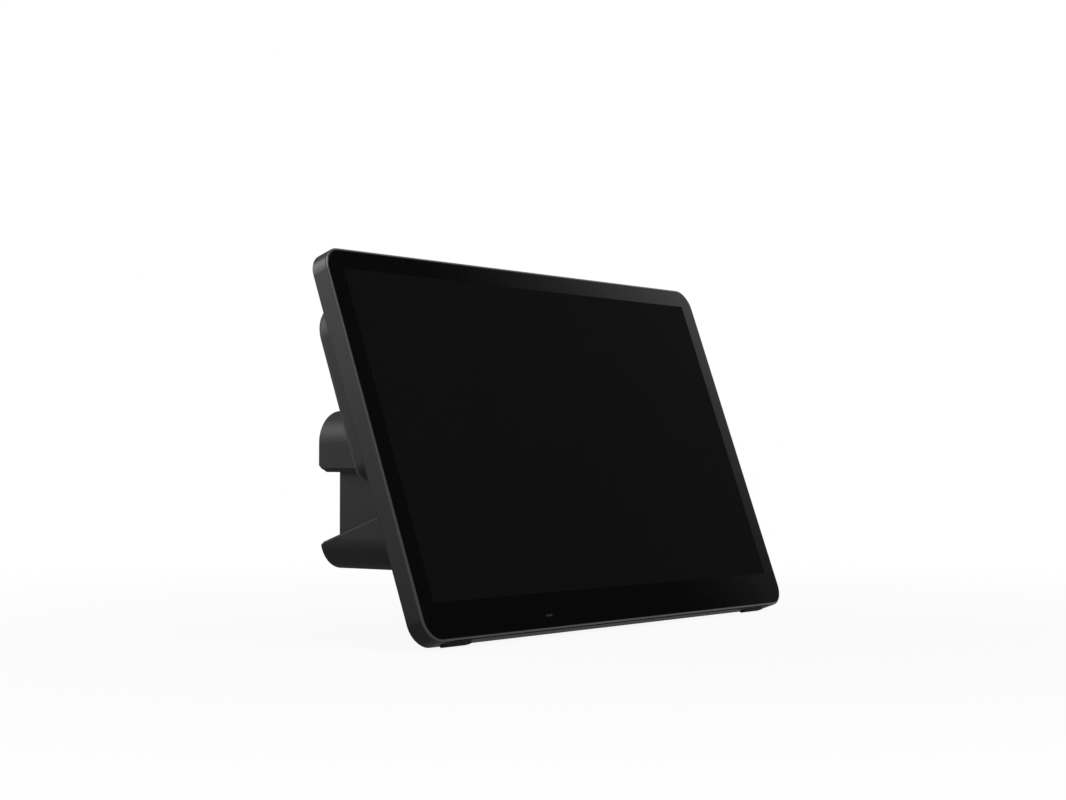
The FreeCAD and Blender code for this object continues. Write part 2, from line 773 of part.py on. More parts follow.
def make_stand_head():
    body = new_body("stand_head")
    face = new_sketch(body, "XZ", times(-1, head_rear))
    rectangle(face, size("head_width"), size("head_height"), "0",
              total(head_under, times(0.5, size("head_height"))))
    pad(body, face, less(head_rear, head_front))
    top = number(head_top)
    half = number(size("head_width")) / 2
    rear = number(head_rear)
    dress(body, "Fillet", size("head_corner"),
          lambda edge: flat_at(edge, "Z", top) and (flat_at(edge, "X", half) or flat_at(edge, "X", -half)))
    front_edge = new_sketch(body, "YZ", "0")
    corner_cut(front_edge, head_front, head_top, size("head_front_round"))
    pocket(body, front_edge, total(size("head_width"), overcut), both_ways=True)
    under = number(head_under)
    heel = number(less(head_rear, size("head_heel_bevel")))
    heel_top = number(total(head_under, size("head_heel_bevel")))
    dress(body, "Chamfer", size("head_heel_bevel"),
          lambda edge: flat_at(edge, "Z", under) and flat_at(edge, "Y", rear))
    dress(body, "Chamfer", size("head_under_bevel"),
          lambda edge: flat_at(edge, "Z", under) and not flat_at(edge, "Y", heel))
    dress(body, "Chamfer", size("head_edge_bevel"),
          lambda edge: flat_at(edge, "Y", rear) and not flat_at(edge, "Z", heel_top))

    # slots for the ears, open at the front and the top
    slots = new_sketch(body, "XY", total(head_top, overcut))
    slot_rear = total(hinge_back, size("ear_radius"), size("ear_clear"))
    slot_front = less(head_front, overcut)
    for _, middle in mirrored_pair(size("ear_right")):
        rectangle(slots, slot_room, less(slot_rear, slot_front), middle,
                  times(0.5, total(slot_rear, slot_front)))
    floor = less(hinge_height, size("ear_radius"), size("ear_clear"))
    pocket(body, slots, less(total(head_top, overcut), floor))

    for _, middle in mirrored_pair(size("ear_right")):
        bores = new_sketch(body, "YZ", middle)
        circle(bores, bore_radius, hinge_back, hinge_height)
        pocket(body, bores, shaft_length, both_ways=True)

    # hollows from below, which leave a web on each side of every slot
    hollows = new_sketch(body, "XY", head_under)
    web = total(times(0.5, slot_room), size("web_thick"))
    inner = less(size("ear_right"), web)
    outer = total(size("ear_right"), web)
    reach = less(times(0.5, size("head_width")), size("head_side_wall"))
    depth = less(head_rear, head_front, times(2, size("head_side_wall")))
    middle_back = times(0.5, total(head_front, head_rear))
    rectangle(hollows, times(2, inner), depth, "0", middle_back)
    for _, side in mirrored_pair(times(0.5, total(outer, reach))):
        rectangle(hollows, less(reach, outer), depth, side, middle_back)
    pocket(body, hollows, less(size("head_height"), size("head_wall")), backward=True)


def jack_places():
    return (("lan_jack", times(-1, size("jack_right"))), ("pc_jack", size("jack_right")))


def bolt_places():
    for right in (times(-1, size("bolt_right")), size("bolt_right")):
        yield right, size("bolt_back")


bolt_seat = total(size("ledge_under"), size("bolt_sink"))
bolt_tip = total(ledge_top(size("bolt_back")), size("bolt_hold"))


def make_stand_core():
    body = new_body("stand_core")
    side = new_sketch(body, "YZ", "0")
    polygon(side, [(waist_front, ledge_top(waist_front)), (waist_rear, ledge_top(waist_rear)),
                   (waist_rear, head_under), (waist_front, head_under)])
    pad(body, side, waist_width, both_ways=True)
    half = number(waist_width) / 2
    rear = number(waist_rear)
    dress(body, "Fillet", size("waist_edge_round"), lambda edge: flat_at(edge, "Y", rear) and
          (flat_at(edge, "X", half) or flat_at(edge, "X", -half)))
    walls = times(2, size("waist_wall"))
    room = new_sketch(body, "XY", head_under)
    rectangle(room, less(waist_width, walls), less(waist_rear, waist_front, walls), "0",
              times(0.5, total(waist_rear, waist_front)))
    pocket(body, room, less(head_under, io_floor))
    windows = new_sketch(body, "XZ", times(-1, waist_rear))
    clear = times(2, size("jack_clear"))
    jack_middle = total(io_floor, size("io_thick"), times(0.5, size("jack_height")))
    window_width = total(size("jack_width"), clear)
    window_height = total(size("jack_height"), clear)
    for _, right in jack_places():
        rectangle(windows, window_width, window_height, right, jack_middle)
    pocket(body, windows, size("waist_wall"), backward=True)
    holes = new_sketch(body, "XY", bolt_tip)
    for right, back in bolt_places():
        circle(holes, bolt_bore, right, back)
    pocket(body, holes, less(bolt_tip, bolt_seat))


def make_sockets():
    board = new_body("io_board")
    board_rear = less(waist_rear, size("waist_wall"), size("io_back_gap"))
    plate = new_sketch(board, "XY", io_floor)
    rectangle(plate, size("io_width"), size("io_depth"), "0", less(board_rear, times(0.5, size("io_depth"))))
    pad(board, plate, size("io_thick"))

    floor = total(io_floor, size("io_thick"))
    for label, right in jack_places():
        jack = new_body(label)
        shell = new_sketch(jack, "XZ", times(-1, waist_rear))
        rectangle(shell, size("jack_width"), size("jack_height"), right,
                  total(floor, times(0.5, size("jack_height"))))
        pad(jack, shell, size("jack_depth"))
        # the mouth, with a notch below it for the latch of the plug
        mouth = new_sketch(jack, "XZ", times(-1, waist_rear))
        low = total(floor, size("jack_mouth_rise"))
        high = total(low, size("jack_mouth_height"))
        notch = less(low, size("jack_latch_depth"))
        left, far = (total(right, times(side, size("jack_mouth_width"))) for side in (-0.5, 0.5))
        latch_left, latch_far = (total(right, times(side, size("jack_latch_width"))) for side in (-0.5, 0.5))
        polygon(mouth, [(left, low), (latch_left, low), (latch_left, notch), (latch_far, notch),
                        (latch_far, low), (far, low), (far, high), (left, high)])
        pocket(jack, mouth, size("jack_mouth_depth"), backward=True)


def make_foot_ledge():
    body = new_body("foot_ledge")
    under = size("ledge_under")
    tall = less(times(2, head_under), under)
    front_low = panel_back(under, size("ledge_gap"))
    face = new_sketch(body, "XZ", times(-1, head_rear))
    rounded(face, size("ledge_span"), tall, size("ledge_corner"), "0", total(under, times(0.5, tall)))
    pad(body, face, less(head_rear, front_low))
    # the top slopes square to the panel, the front follows the back of the slab, and they meet at the crest
    front_rise = less(ledge_top("0"), under)
    crest = times(f"{lean_cos} * {lean_cos}", total(front_low, times(lean_tan, front_rise)))
    above = total(under, tall)
    beyond = total(head_rear, overcut)
    ahead = less(front_low, overcut)
    below = less(under, f"({overcut} / {lean_tan})")
    cut = new_sketch(body, "YZ", "0")
    polygon(cut, [(ahead, below), (crest, ledge_top(crest)), (beyond, ledge_top(beyond)),
                  (beyond, above), (ahead, above)])
    pocket(body, cut, total(size("ledge_span"), overcut), both_ways=True)
    half = number(size("ledge_span")) / 2
    rear = number(head_rear)
    tip = number(ledge_top(head_rear))
    dress(body, "Chamfer", size("ledge_edge_bevel"), lambda edge:
          (flat_at(edge, "Y", rear) and flat_at(edge, "Z", tip)) or
          (falls_back(edge) and (flat_at(edge, "X", half) or flat_at(edge, "X", -half))))
    sinks = new_sketch(body, "XY", under)
    holes = new_sketch(body, "XY", bolt_seat)
    for right, back in bolt_places():
        circle(sinks, total(size("bolt_head_radius"), size("weight_gap")), right, back)
        circle(holes, bolt_bore, right, back)
    pocket(body, sinks, size("bolt_sink"), backward=True)
    pocket(body, holes, less(bolt_tip, bolt_seat), backward=True)


def make_pedestal():
    body = new_body("pedestal_base")
    foot = new_sketch(body, "XY", size("pad_thick"))
    rounded(foot, size("pedestal_width"), size("pedestal_depth"), size("pedestal_radius"))
    pad(body, foot, less(size("ledge_under"), size("pad_thick")))
    walls = times(2, size("pedestal_wall"))
    room_width = less(size("pedestal_width"), walls)
    room_depth = less(size("pedestal_depth"), walls)
    room_radius = less(size("pedestal_radius"), size("pedestal_wall"))
    roof = less(size("ledge_under"), size("pedestal_roof"))
    room = new_sketch(body, "XY", size("pad_thick"))
    rounded(room, room_width, room_depth, room_radius)
    pocket(body, room, less(roof, size("pad_thick")), backward=True)

    weight = new_body("base_weight")
    gap = times(2, size("weight_gap"))
    block = new_sketch(weight, "XY", roof)
    rounded(block, less(room_width, gap), less(room_depth, gap), less(room_radius, size("weight_gap")))
    pad(weight, block, less(roof, size("pad_thick"), size("weight_floor")), backward=True)

    sole = new_body("base_pad")
    inset = times(2, size("pad_inset"))
    outline = new_sketch(sole, "XY", "0")
    rounded(outline, less(size("pedestal_width"), inset), less(size("pedestal_depth"), inset),
            less(size("pedestal_radius"), size("pad_inset")))
    pad(sole, outline, size("pad_thick"))


make_mid_frame()
make_glass()
make_display_module()
make_rear_cover()
make_rear_housing()
make_electronics()
make_feet()
make_ears()
make_screws(display_body("board_screws"), "screw", post_places(screwed_posts), at_depth(board_front),
            less(total(size("board_thick"), size("screw_grip")), size("screw_tip_gap")), upward=False)
make_screws(display_body("ear_screws"), "screw", ear_screw_places(),
            at_depth(total(housing_back, size("flange_thick"))),
            total(size("flange_thick"), size("housing_wall")), upward=True)
make_hinge_shafts()
make_stand_head()
make_stand_core()
make_sockets()
make_foot_ledge()
make_pedestal()
make_screws(new_body("stand_screws"), "bolt", bolt_places(), bolt_seat,
            less(bolt_tip, bolt_seat, size("screw_tip_gap")), upward=True)
doc.recompute()

for item in doc.Objects:
    if "Invalid" in item.State or "Error" in item.State:
        raise RuntimeError(f"{item.Label} did not come out: {item.State}")
for node in nodes:
    if node.Shape.isNull() or not node.Shape.isValid() or not node.Shape.Solids:
        raise RuntimeError(f"{node.Label} has no sound solid")

os.makedirs("parts", exist_ok=True)
for node in nodes:
    node.Shape.exportStep(f"parts/{node.Label}.step")
    middle = node.Shape.CenterOfGravity
    print(f"{node.Label}: {len(node.Shape.Solids)} solids, {node.Shape.Volume:.1f} mm3, "
          f"middle {middle.x:.2f} {middle.y:.2f} {middle.z:.2f}")
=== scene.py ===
import json
import math

import bpy
import numpy as np
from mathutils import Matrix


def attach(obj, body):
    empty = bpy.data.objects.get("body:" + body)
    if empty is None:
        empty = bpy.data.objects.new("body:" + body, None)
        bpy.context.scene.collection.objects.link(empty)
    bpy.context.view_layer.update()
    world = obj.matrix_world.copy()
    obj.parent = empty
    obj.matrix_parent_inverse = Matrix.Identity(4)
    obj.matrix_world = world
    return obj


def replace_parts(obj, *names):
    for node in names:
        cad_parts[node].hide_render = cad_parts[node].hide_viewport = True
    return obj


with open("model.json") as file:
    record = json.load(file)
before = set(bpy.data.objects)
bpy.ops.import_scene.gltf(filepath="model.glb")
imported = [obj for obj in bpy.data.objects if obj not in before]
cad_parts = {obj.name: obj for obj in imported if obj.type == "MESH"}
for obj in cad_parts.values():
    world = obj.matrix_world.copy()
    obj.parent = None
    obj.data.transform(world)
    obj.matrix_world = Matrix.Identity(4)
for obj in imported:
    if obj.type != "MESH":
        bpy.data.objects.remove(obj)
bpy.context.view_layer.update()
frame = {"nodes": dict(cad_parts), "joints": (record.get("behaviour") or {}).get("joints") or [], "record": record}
scene = bpy.context.scene
scene.view_settings.view_transform = "Standard"
slotOf = {row["node"]: row["material_slot"] for row in frame["record"]["subparts"]}
print("frame loaded:", len(frame["nodes"]), "nodes")

# the leaning display: "right" is +X, "up" runs up the glass, "out" leaves the glass, all from the tilt axis;
# width, height and corner are the outline of its slab
display = {"lean": 19.8, "width": 0.2764, "height": 0.1689, "corner": 0.00985, "middleUp": -0.01365,
           "edgeUp": -0.0981, "glassOut": 0.0345}
lean = math.radians(display["lean"])
hinge = np.array(frame["joints"][0]["pos_m"])
rightWay = np.array([1.0, 0.0, 0.0])
upWay = np.array([0.0, math.sin(lean), math.cos(lean)])
outWay = np.array([0.0, -math.cos(lean), math.sin(lean)])
displayAxes = np.stack([rightWay, upWay, outWay])


# a point of the display: the tilt axis plus its three distances along right, up and out
def onDisplay(places):
    return hinge + np.asarray(places) @ displayAxes


# half a turn about the first axis, for a piece that is drawn face up and faces the other way
def turnedOver(places):
    return np.asarray(places) * np.array([1.0, -1.0, -1.0])


# an edge that turns further than this stays crisp, and no corner in plan has a smaller radius than this
meshing = {"sharpAngle": 35, "leastRadius": 1e-5}


# ring surfaces: neighbouring closed rings are joined by quads; the end rings get a flat cap,
# or the last ring joins the first where the surface closes on itself
def ringMesh(name, rings, finish, body, loop=False):
    rings = rings.reshape((-1,) + rings.shape[-3:])
    count, levels, around = rings.shape[:3]
    index = np.arange(count * levels * around).reshape(count, levels, around)
    ahead = np.roll(index, -1, axis=2)
    corners = [index, ahead, np.roll(ahead, -1, axis=1), np.roll(index, -1, axis=1)]
    used = levels if loop else levels - 1
    faces = np.stack(corners, axis=-1)[:, :used].reshape(-1, 4).tolist()
    if not loop:
        faces += index[:, 0, ::-1].tolist() + index[:, -1].tolist()
    mesh = bpy.data.meshes.new(name)
    mesh.from_pydata(rings.reshape(-1, 3).tolist(), [], faces)
    mesh.polygons.foreach_set("use_smooth", np.ones(len(mesh.polygons), bool))
    mesh.set_sharp_from_angle(angle=math.radians(meshing["sharpAngle"]))
    mesh.materials.append(finish)
    piece = bpy.data.objects.new(name, mesh)
    scene.collection.objects.link(piece)
    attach(piece, body)
    return piece


# a rounded rectangle: each quarter turn of a circle is pushed out to its own corner
def roundedOutline(width, height, radius, steps=8):
    angle = (np.arange(4)[:, None] * 90 + np.linspace(0, 90, steps)[None, :]) * math.pi / 180
    sideX = np.array([1, -1, -1, 1])[:, None]
    sideY = np.array([1, 1, -1, -1])[:, None]
    x = sideX * (width / 2 - radius) + radius * np.cos(angle)
    y = sideY * (height / 2 - radius) + radius * np.sin(angle)
    return np.stack([x.ravel(), y.ravel()], axis=1)


# a plate: the outline is carried up through levels of (inset, height), so its edge follows that profile
def plateRings(width, height, radius, levels, steps=8):
    rings = []
    for inset, rise in levels:
        corner = max(radius - inset, meshing["leastRadius"])
        outline = roundedOutline(width - 2 * inset, height - 2 * inset, corner, steps)
        rings.append(np.column_stack([outline, np.full(len(outline), rise)]))
    return np.array(rings)


# a trim round the slab: levels of (inset, out) are carried round the display's own outline
def slabRings(levels, steps):
    rings = plateRings(display["width"], display["height"], display["corner"], levels, steps)
    return onDisplay(rings + np.array([0.0, display["middleUp"], 0.0]))


# a turned screw: each level is a circle of (radius, height, swell);
# in the socket the radius swells by that share at each lobe
def screwRings(levels, around=48, lobes=6):
    angle = np.linspace(0, 2 * math.pi, around, endpoint=False)
    radius, rise, swell = np.array(levels).T[:, :, None]
    reach = radius * (1 + swell * np.cos(lobes * angle))
    return np.stack([reach * np.cos(angle), reach * np.sin(angle), np.broadcast_to(rise, reach.shape)], axis=-1)


# an empty finish with its node tree and shader
def newFinish(name):
    finish = bpy.data.materials.new(name)
    finish.use_nodes = True
    tree = finish.node_tree
    return finish, tree, tree.nodes["Principled BSDF"]


# one step of arithmetic on numbers or sockets
def mathNode(tree, operation, *values):
    node = tree.nodes.new("ShaderNodeMath")
    node.operation = operation
    for socket, value in enumerate(values):
        if isinstance(value, (int, float)):
            node.inputs[socket].default_value = value
        else:
            tree.links.new(value, node.inputs[socket])
    return node.outputs[0]


# a value carried from one range to another, and held at its ends
def rampNode(tree, value, start, end, low, high, smooth=False):
    node = tree.nodes.new("ShaderNodeMapRange")
    node.interpolation_type = "SMOOTHSTEP" if smooth else "LINEAR"
    for socket, amount in zip(("From Min", "From Max", "To Min", "To Max"), (start, end, low, high)):
        node.inputs[socket].default_value = amount
    tree.links.new(value, node.inputs["Value"])
    return node.outputs["Result"]


# how long a vector is
def lengthNode(tree, vector):
    node = tree.nodes.new("ShaderNodeVectorMath")
    node.operation = "LENGTH"
    tree.links.new(vector, node.inputs[0])
    return node.outputs["Value"]


# noise on the piece's own place, with a grain of that many metres
def grainNoise(tree, grain, detail=2.0):
    place = tree.nodes.new("ShaderNodeTexCoord")
    noise = tree.nodes.new("ShaderNodeTexNoise")
    noise.inputs["Scale"].default_value = 1.0 / grain
    noise.inputs["Detail"].default_value = detail
    tree.links.new(place.outputs["Object"], noise.inputs["Vector"])
    return noise.outputs["Fac"]


# nearly all of the noise lies between these
noiseEnds = (0.3, 0.7)


# the noise turned into a value between two ends
def spread(tree, value, low, high):
    return rampNode(tree, value, *noiseEnds, low, high)


# a colour between a darker and a lighter tone
def toneMix(tree, factor, dark, light):
    mix = tree.nodes.new("ShaderNodeMix")
    mix.data_type = "RGBA"
    mix.inputs["A"].default_value = (*dark, 1)
    mix.inputs["B"].default_value = (*light, 1)
    tree.links.new(factor, mix.inputs["Factor"])
    return mix.outputs["Result"]


# a height that tilts the shader's normal
def addBump(tree, shader, height, strength, distance):
    bump = tree.nodes.new("ShaderNodeBump")
    bump.inputs["Strength"].default_value = strength
    bump.inputs["Distance"].default_value = distance
    tree.links.new(height, bump.inputs["Height"])
    tree.links.new(bump.outputs["Normal"], shader.inputs["Normal"])


grainDepth = 0.3  # the bump's depth as a share of its grain
waveBand = math.pi / 10  # how wide one band of the wave texture is at scale 1


# a finish with a grained surface: fine bump, patchy roughness and a slight drift of tone
def grainedFinish(name, look):
    finish, tree, shader = newFinish(name)
    patches = spread(tree, grainNoise(tree, look["patch"]), 0.0, 1.0)
    dark = [c * (1 - look["drift"]) for c in look["tone"]]
    light = [c * (1 + look["drift"]) for c in look["tone"]]
    tree.links.new(toneMix(tree, patches, dark, light), shader.inputs["Base Color"])
    fine = grainNoise(tree, look["grain"])
    tree.links.new(spread(tree, fine, *look["rough"]), shader.inputs["Roughness"])
    addBump(tree, shader, fine, look["bump"], look["grain"] * grainDepth)
    shader.inputs["Metallic"].default_value = look.get("metal", 0.0)
    shader.inputs["Specular IOR Level"].default_value = look.get("gloss", 0.5)
    return finish


# a woven wire finish: the larger of two crossing sine waves is the wire, and between them are dark gaps
def wovenFinish(name, look):
    finish, tree, shader = newFinish(name)
    place = tree.nodes.new("ShaderNodeTexCoord")
    turn = tree.nodes.new("ShaderNodeMapping")
    turn.inputs["Rotation"].default_value = (lean - math.pi / 2, 0.0, 0.0)  # lays the display's plane flat
    tree.links.new(place.outputs["Object"], turn.inputs["Vector"])
    waves = []
    for direction in "XY":
        wave = tree.nodes.new("ShaderNodeTexWave")
        wave.bands_direction = direction
        wave.inputs["Scale"].default_value = waveBand / look["pitch"]
        tree.links.new(turn.outputs["Vector"], wave.inputs["Vector"])
        waves.append(wave.outputs["Fac"])
    wires = mathNode(tree, "MAXIMUM", *waves)
    tree.links.new(toneMix(tree, wires, look["gap"], look["tone"]), shader.inputs["Base Color"])
    addBump(tree, shader, wires, look["bump"], look["depth"])
    tree.links.new(spread(tree, wires, *look["rough"]), shader.inputs["Roughness"])
    shader.inputs["Metallic"].default_value = look["metal"]
    return finish


plasticLook = {"tone": (0.0222, 0.0222, 0.0225), "drift": 0.08, "patch": 0.012, "grain": 0.00025,
               "rough": (0.37, 0.45), "bump": 0.2, "gloss": 0.35}
finishLooks = {
    "frame_plastic": dict(plasticLook, tone=(0.0120, 0.0120, 0.0122), rough=(0.26, 0.33), bump=0.12, gloss=0.5),
    "housing_plastic": plasticLook,
    "stand_plastic": plasticLook,
    "black_glass": {"tone": (0.0043, 0.0043, 0.0045), "drift": 0.03, "patch": 0.05, "grain": 0.003,
                    "rough": (0.05, 0.07), "bump": 0.004, "gloss": 0.5},
    "display_panel": {"tone": (0.006, 0.006, 0.006), "drift": 0.03, "patch": 0.02, "grain": 0.0004,
                      "rough": (0.2, 0.24), "bump": 0.02},
    "rubber": {"tone": (0.016, 0.016, 0.016), "drift": 0.1, "patch": 0.006, "grain": 0.0003,
               "rough": (0.6, 0.75), "bump": 0.3, "gloss": 0.3},
    "aluminium": {"tone": (0.72, 0.72, 0.73), "drift": 0.04, "patch": 0.02, "grain": 0.0003,
                  "rough": (0.3, 0.42), "bump": 0.1, "metal": 1.0},
    "shield_metal": {"tone": (0.6, 0.6, 0.6), "drift": 0.04, "patch": 0.01, "grain": 0.0003,
                     "rough": (0.25, 0.35), "bump": 0.08, "metal": 1.0},
    "circuit_board": {"tone": (0.02, 0.14, 0.05), "drift": 0.1, "patch": 0.004, "grain": 0.0004,
                      "rough": (0.3, 0.4), "bump": 0.1},
    "chip_plastic": {"tone": (0.02, 0.02, 0.02), "drift": 0.1, "patch": 0.004, "grain": 0.0002,
                     "rough": (0.5, 0.6), "bump": 0.15},
    "speaker_plastic": {"tone": (0.03, 0.03, 0.03), "drift": 0.1, "patch": 0.004, "grain": 0.0002,
                        "rough": (0.45, 0.55), "bump": 0.15},
    "socket_plastic": {"tone": (0.025, 0.025, 0.026), "drift": 0.08, "patch": 0.004, "grain": 0.0003,
                       "rough": (0.3, 0.38), "bump": 0.08},
    "steel": {"tone": (0.55, 0.55, 0.56), "drift": 0.05, "patch": 0.003, "grain": 0.0002,
              "rough": (0.25, 0.38), "bump": 0.1, "metal": 1.0},
    "black_steel": {"tone": (0.03, 0.03, 0.031), "drift": 0.1, "patch": 0.003, "grain": 0.0002,
                    "rough": (0.35, 0.48), "bump": 0.12, "metal": 0.6},
    "weight_steel": {"tone": (0.2, 0.2, 0.2), "drift": 0.15, "patch": 0.004, "grain": 0.0006,
                     "rough": (0.55, 0.7), "bump": 0.4, "metal": 1.0},
}
finishes = {name: grainedFinish(name, look) for name, look in finishLooks.items()}
for name, node in frame["nodes"].items():
    node.data.materials.clear()
    node.data.materials.append(finishes[slotOf[name]])
print("finishes:", len(finishes))

# the lit area: a film on the glass that shines only at a low angle, dark while the display is off
screenFilm = {"width": 0.2568, "height": 0.1436, "corner": 0.0004, "up": -0.0102, "thick": 0.00004,
              "tone": (0.0070, 0.0070, 0.0070), "drift": 0.02, "patch": 0.05, "grain": 0.0003,
              "rough": (0.18, 0.22), "bump": 0.01, "gloss": 0.0045}


# a thin plate with straight sides, laid on the glass
def makeScreenFilm(look):
    rings = plateRings(look["width"], look["height"], look["corner"], [(0.0, 0.0), (0.0, look["thick"])])
    rings = onDisplay(rings + np.array([0.0, look["up"], display["glassOut"]]))
    ringMesh("screen_film", rings, grainedFinish("screen_film", look), "display")


makeScreenFilm(screenFilm)

# the sensor's window: a small dark lens in the lower border of the glass
sensorWindow = {"width": 0.0046, "height": 0.0008, "right": -0.0565, "up": -0.0918, "thick": 0.00005,
                "side": 0.00003, "dome": 0.00008, "tone": (0.0115, 0.0115, 0.012), "drift": 0.1,
                "patch": 0.001, "grain": 0.0003, "rough": (0.25, 0.35), "bump": 0.02, "gloss": 0.38}


# a plate with round ends: a low straight side, then an edge that draws in towards the top
def makeSensorWindow(look):
    levels = [(0.0, 0.0), (0.0, look["side"]), (look["dome"], look["thick"])]
    rings = plateRings(look["width"], look["height"], look["height"] / 2, levels)
    rings = onDisplay(rings + np.array([look["right"], look["up"], display["glassOut"]]))
    ringMesh("sensor_window", rings, grainedFinish("sensor_window", look), "display")


makeSensorWindow(sensorWindow)

# painted shade round the back of the slab: a low three-cornered matt black bead over the bevel there, standing for
# the shade where the back meets the housing
rearPaintedShade = {"bevel": 0.0005, "out": 0.0259, "bead": 0.00003, "steps": 16, "tone": (0.006, 0.006, 0.006),
            "drift": 0.1, "patch": 0.004, "grain": 0.0003, "rough": (0.8, 0.9), "bump": 0.1, "gloss": 0.0}


# two corners are the edges of the bevel, and the crest stands off its middle
def makeRearPaintedShade(look):
    crest = look["bevel"] / 2 - look["bead"]
    levels = [(look["bevel"], 0.0), (crest, crest), (0.0, look["bevel"])]
    rings = slabRings([(inset, rise + look["out"]) for inset, rise in levels], look["steps"])
    # the bead is matt black: painted shade along the slab's back edge
    ringMesh("rear_edge_painted_shade", rings, grainedFinish("edge_painted_shade", look), "display", loop=True)


makeRearPaintedShade(rearPaintedShade)

# a gloss bead that fills the groove between the lip and the glass:
# it carries the lip's slope on and then falls to the edge of the glass
glassBead = {"steps": 24,
             "profile": [(0.00067, 0.0344385), (0.00080, 0.034484), (0.00098, 0.034384), (0.00085, 0.03428)]}


# the four corners of the profile are carried round the slab and close on themselves
def makeGlassBead(look):
    rings = slabRings(look["profile"], look["steps"])
    ringMesh("glass_bead", rings, finishes["black_glass"], "display", loop=True)


makeGlassBead(glassBead)

# painted shade under the lower lip: a thin matt black strip over the bevel there and the wall behind it, where the
# bevel mirrors the shaded table
# its profile is (up from the lower edge, out from the bevel's foot)
lipPaintedShade = {"length": 0.2560, "taper": 0.006, "tip": 0.1, "out": 0.03393,
           "profile": [(0.000227, 0.000304), (0.000169, 0.000298), (-0.00003, 0.0), (0.0, -0.0006)],
           "tone": (0.005, 0.005, 0.005), "drift": 0.1, "patch": 0.004, "grain": 0.0003,
           "rough": (0.8, 0.9), "bump": 0.1, "gloss": 0.0}


# the profile is carried to the right, and at both ends it shrinks towards the bevel's foot
def makeLipPaintedShade(look):
    share = np.array([look["tip"], 1.0, 1.0, look["tip"]])
    sections = share[:, None, None] * np.array(look["profile"])
    end = look["length"] / 2
    right = np.array([-end, look["taper"] - end, end - look["taper"], end])
    places = np.stack([np.broadcast_to(right[:, None], sections.shape[:2]),
                       display["edgeUp"] + sections[..., 0], look["out"] + sections[..., 1]], axis=-1)
    # the strip is matt black: painted shade along the lower bevel
    ringMesh("lip_painted_shade", onDisplay(places), grainedFinish("lip_painted_shade", look), "display")


makeLipPaintedShade(lipPaintedShade)

# thin rubber feet under the lower edge: a rounded outline that draws in towards the table
footLook = {"length": 0.0180, "depth": 0.0040, "radius": 0.0019, "right": 0.11485, "out": 0.0289,
            "levels": [(0.0, 0.0), (0.0, 0.00045), (0.00012, 0.00066), (0.00045, 0.0008)]}


# the same plate on the left and on the right, with its levels running down from the lower edge
def makeFeet(look):
    rings = plateRings(look["length"], look["depth"], look["radius"], look["levels"])
    for side, name in ((-1, "left"), (1, "right")):
        places = np.stack([side * look["right"] + rings[..., 0], display["edgeUp"] - rings[..., 2],
                           look["out"] + rings[..., 1]], axis=-1)
        foot = ringMesh(f"rubber_foot_{name}", onDisplay(places), finishes["rubber"], "display")
        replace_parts(foot, f"foot_{name}")


makeFeet(footLook)
print("front and edge details made")

# black mesh in the speaker slots and behind the vents
meshLook = {"pitch": 0.0005, "depth": 0.0002, "tone": (0.020, 0.020, 0.020), "gap": (0.002, 0.002, 0.002),
            "bump": 0.6, "rough": (0.5, 0.35), "metal": 0.5}
slotMesh = {"right": 0.100, "pitch": 0.005, "count": 6, "width": 0.00198, "height": 0.036, "up": 0.01555,
            "back": (0.0122, 0.0119)}
ventMesh = {"width": 0.096, "height": 0.0125, "corner": 0.0005, "up": 0.0411, "back": (0.01282, 0.01252)}


# a strip is a rectangle between two depths, set in the middle of each slot and facing the back;
# the vents share one sheet of the same kind
def makeMeshes(look, slots, vents):
    finish = wovenFinish("woven_mesh", look)
    levels = [(0.0, -depth) for depth in slots["back"]]
    strip = plateRings(slots["width"], slots["height"], meshing["leastRadius"], levels, steps=2)
    step = (np.arange(slots["count"]) - (slots["count"] - 1) / 2) * slots["pitch"]
    right = np.concatenate([-slots["right"] + step, slots["right"] + step])
    middles = np.stack([right, np.full_like(right, slots["up"]), np.zeros_like(right)], axis=-1)
    strips = turnedOver(strip)[None] + middles[:, None, None, :]
    ringMesh("speaker_mesh", onDisplay(strips), finish, "display")
    levels = [(0.0, -depth) for depth in vents["back"]]
    sheet = plateRings(vents["width"], vents["height"], vents["corner"], levels)
    sheet = turnedOver(sheet) + np.array([0.0, vents["up"], 0.0])
    ringMesh("vent_mesh", onDisplay(sheet), finish, "display")


makeMeshes(meshLook, slotMesh, ventMesh)

# screws with a six-lobed socket, from the tip of the shank to the floor of the socket
earScrew = {"right": 0.062, "spread": 0.018, "out": 0.0085,
            "levels": [(0.00125, -0.0040, 0), (0.00125, 0, 0), (0.0024, 0, 0), (0.0024, 0.0007, 0),
                       (0.00215, 0.00115, 0), (0.0016, 0.0014, 0), (0.00125, 0.0014, 0),
                       (0.00105, 0.0014, 0.15), (0.00105, 0.0006, 0.15)]}
standScrew = {"right": 0.066, "back": 0.014, "seat": 0.0394,
              "levels": [(0.0020, -0.0141, 0), (0.0020, 0, 0), (0.0036, 0, 0), (0.0036, 0.0022, 0),
                         (0.0033, 0.0028, 0), (0.0026, 0.0032, 0), (0.0021, 0.0032, 0),
                         (0.0018, 0.0032, 0.15), (0.0018, 0.0014, 0.15)]}


